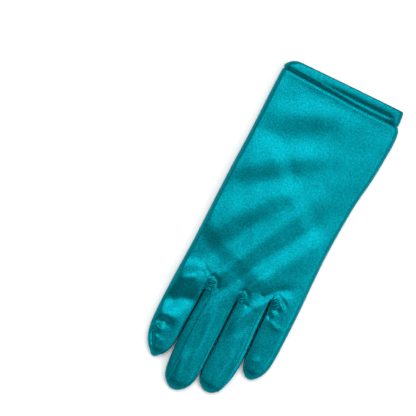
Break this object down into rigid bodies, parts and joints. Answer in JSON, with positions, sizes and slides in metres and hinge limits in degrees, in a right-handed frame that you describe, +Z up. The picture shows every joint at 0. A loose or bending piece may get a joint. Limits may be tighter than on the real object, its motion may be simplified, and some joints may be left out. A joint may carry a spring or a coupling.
{
  "type": "wrist length dress glove",
  "caption": "Left-hand dress glove of stretch satin, lying back up with its thumb folded under the palm, hollow from the hemmed wrist to the fingertips.",
  "frame": {"origin": "centre of the glove's bounding box, on the surface that it lies on", "axes": "+X towards the little finger, +Y from the fingertips to the open cuff, +Z up from the palm to the back of the hand"},
  "size_m": [0.0942, 0.2326, 0.013],
  "materials": {
    "satin_hand": "teal stretch satin with a soft tinted sheen",
    "satin_hem": "teal stretch satin, folded double and stitched",
    "satin_thumb": "teal stretch satin with strong folds",
    "satin_fourchette": "teal stretch satin, seamed along both edges"
  },
  "bodies": {
    "root": {"hand_shell": "satin_hand", "cuff_hem": "satin_hem", "thumb": "satin_thumb", "fourchette_index_middle": "satin_fourchette", "fourchette_middle_ring": "satin_fourchette", "fourchette_ring_little": "satin_fourchette"}
  },
  "joints": []
}
